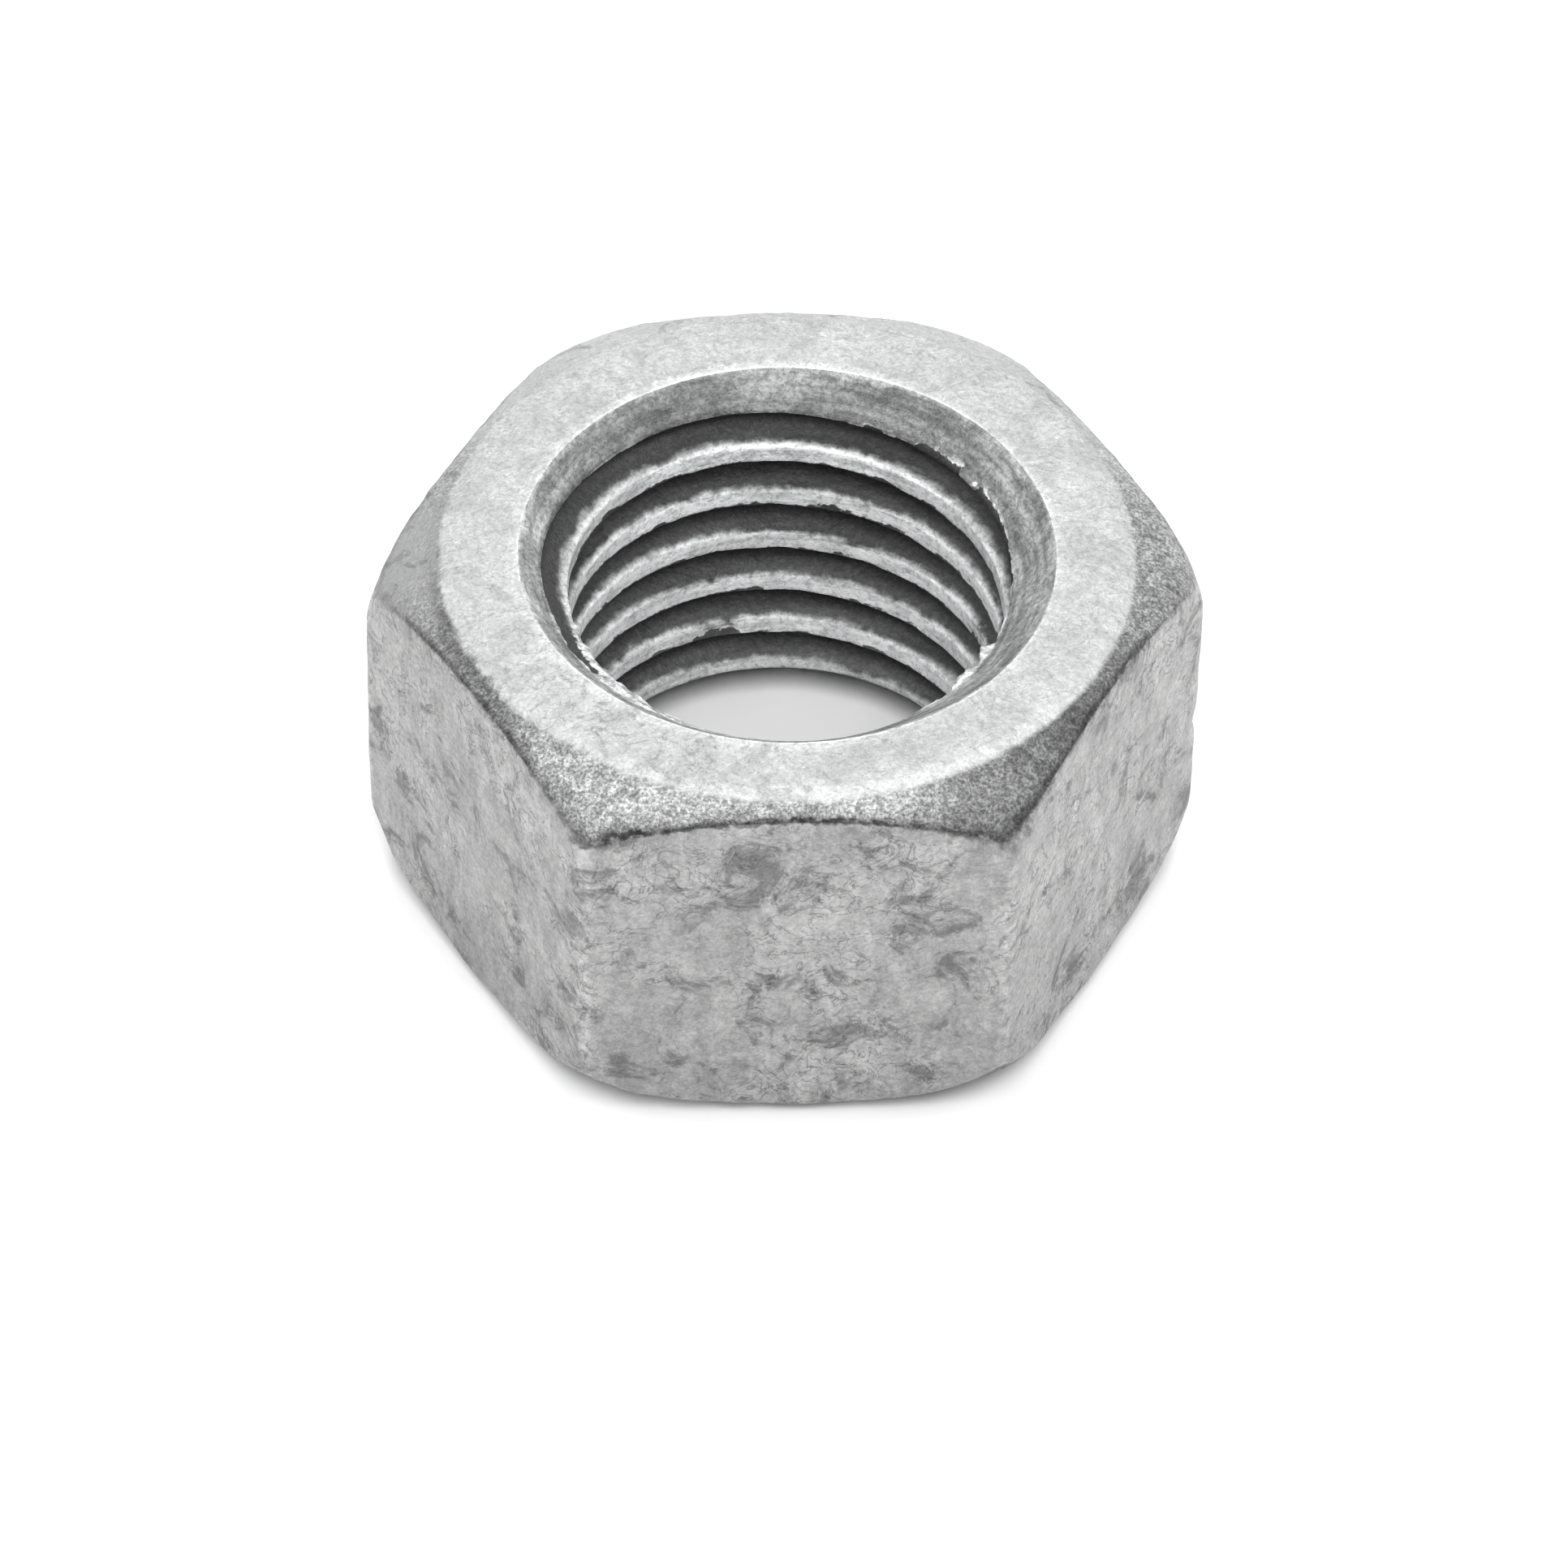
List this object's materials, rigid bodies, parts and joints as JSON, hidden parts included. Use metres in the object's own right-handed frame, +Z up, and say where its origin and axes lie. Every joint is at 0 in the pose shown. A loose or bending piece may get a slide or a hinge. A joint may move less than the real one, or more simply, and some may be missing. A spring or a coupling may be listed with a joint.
{
  "type": "hex nut",
  "caption": "Galvanised steel hexagon nut with chamfered faces and a countersunk right-hand thread running right through.",
  "frame": {"origin": "centre of the lower bearing face, on the thread axis", "axes": "+Z up the thread axis, +X towards a corner, +Y and -Y square to two opposite spanner flats"},
  "size_m": [0.0344, 0.03, 0.0176],
  "materials": {
    "galvanised_steel": "hot-dip galvanised, matt and slightly grainy, with bare dark steel in the thread grooves"
  },
  "bodies": {
    "root": {"hex_nut": "galvanised_steel"}
  },
  "joints": []
}
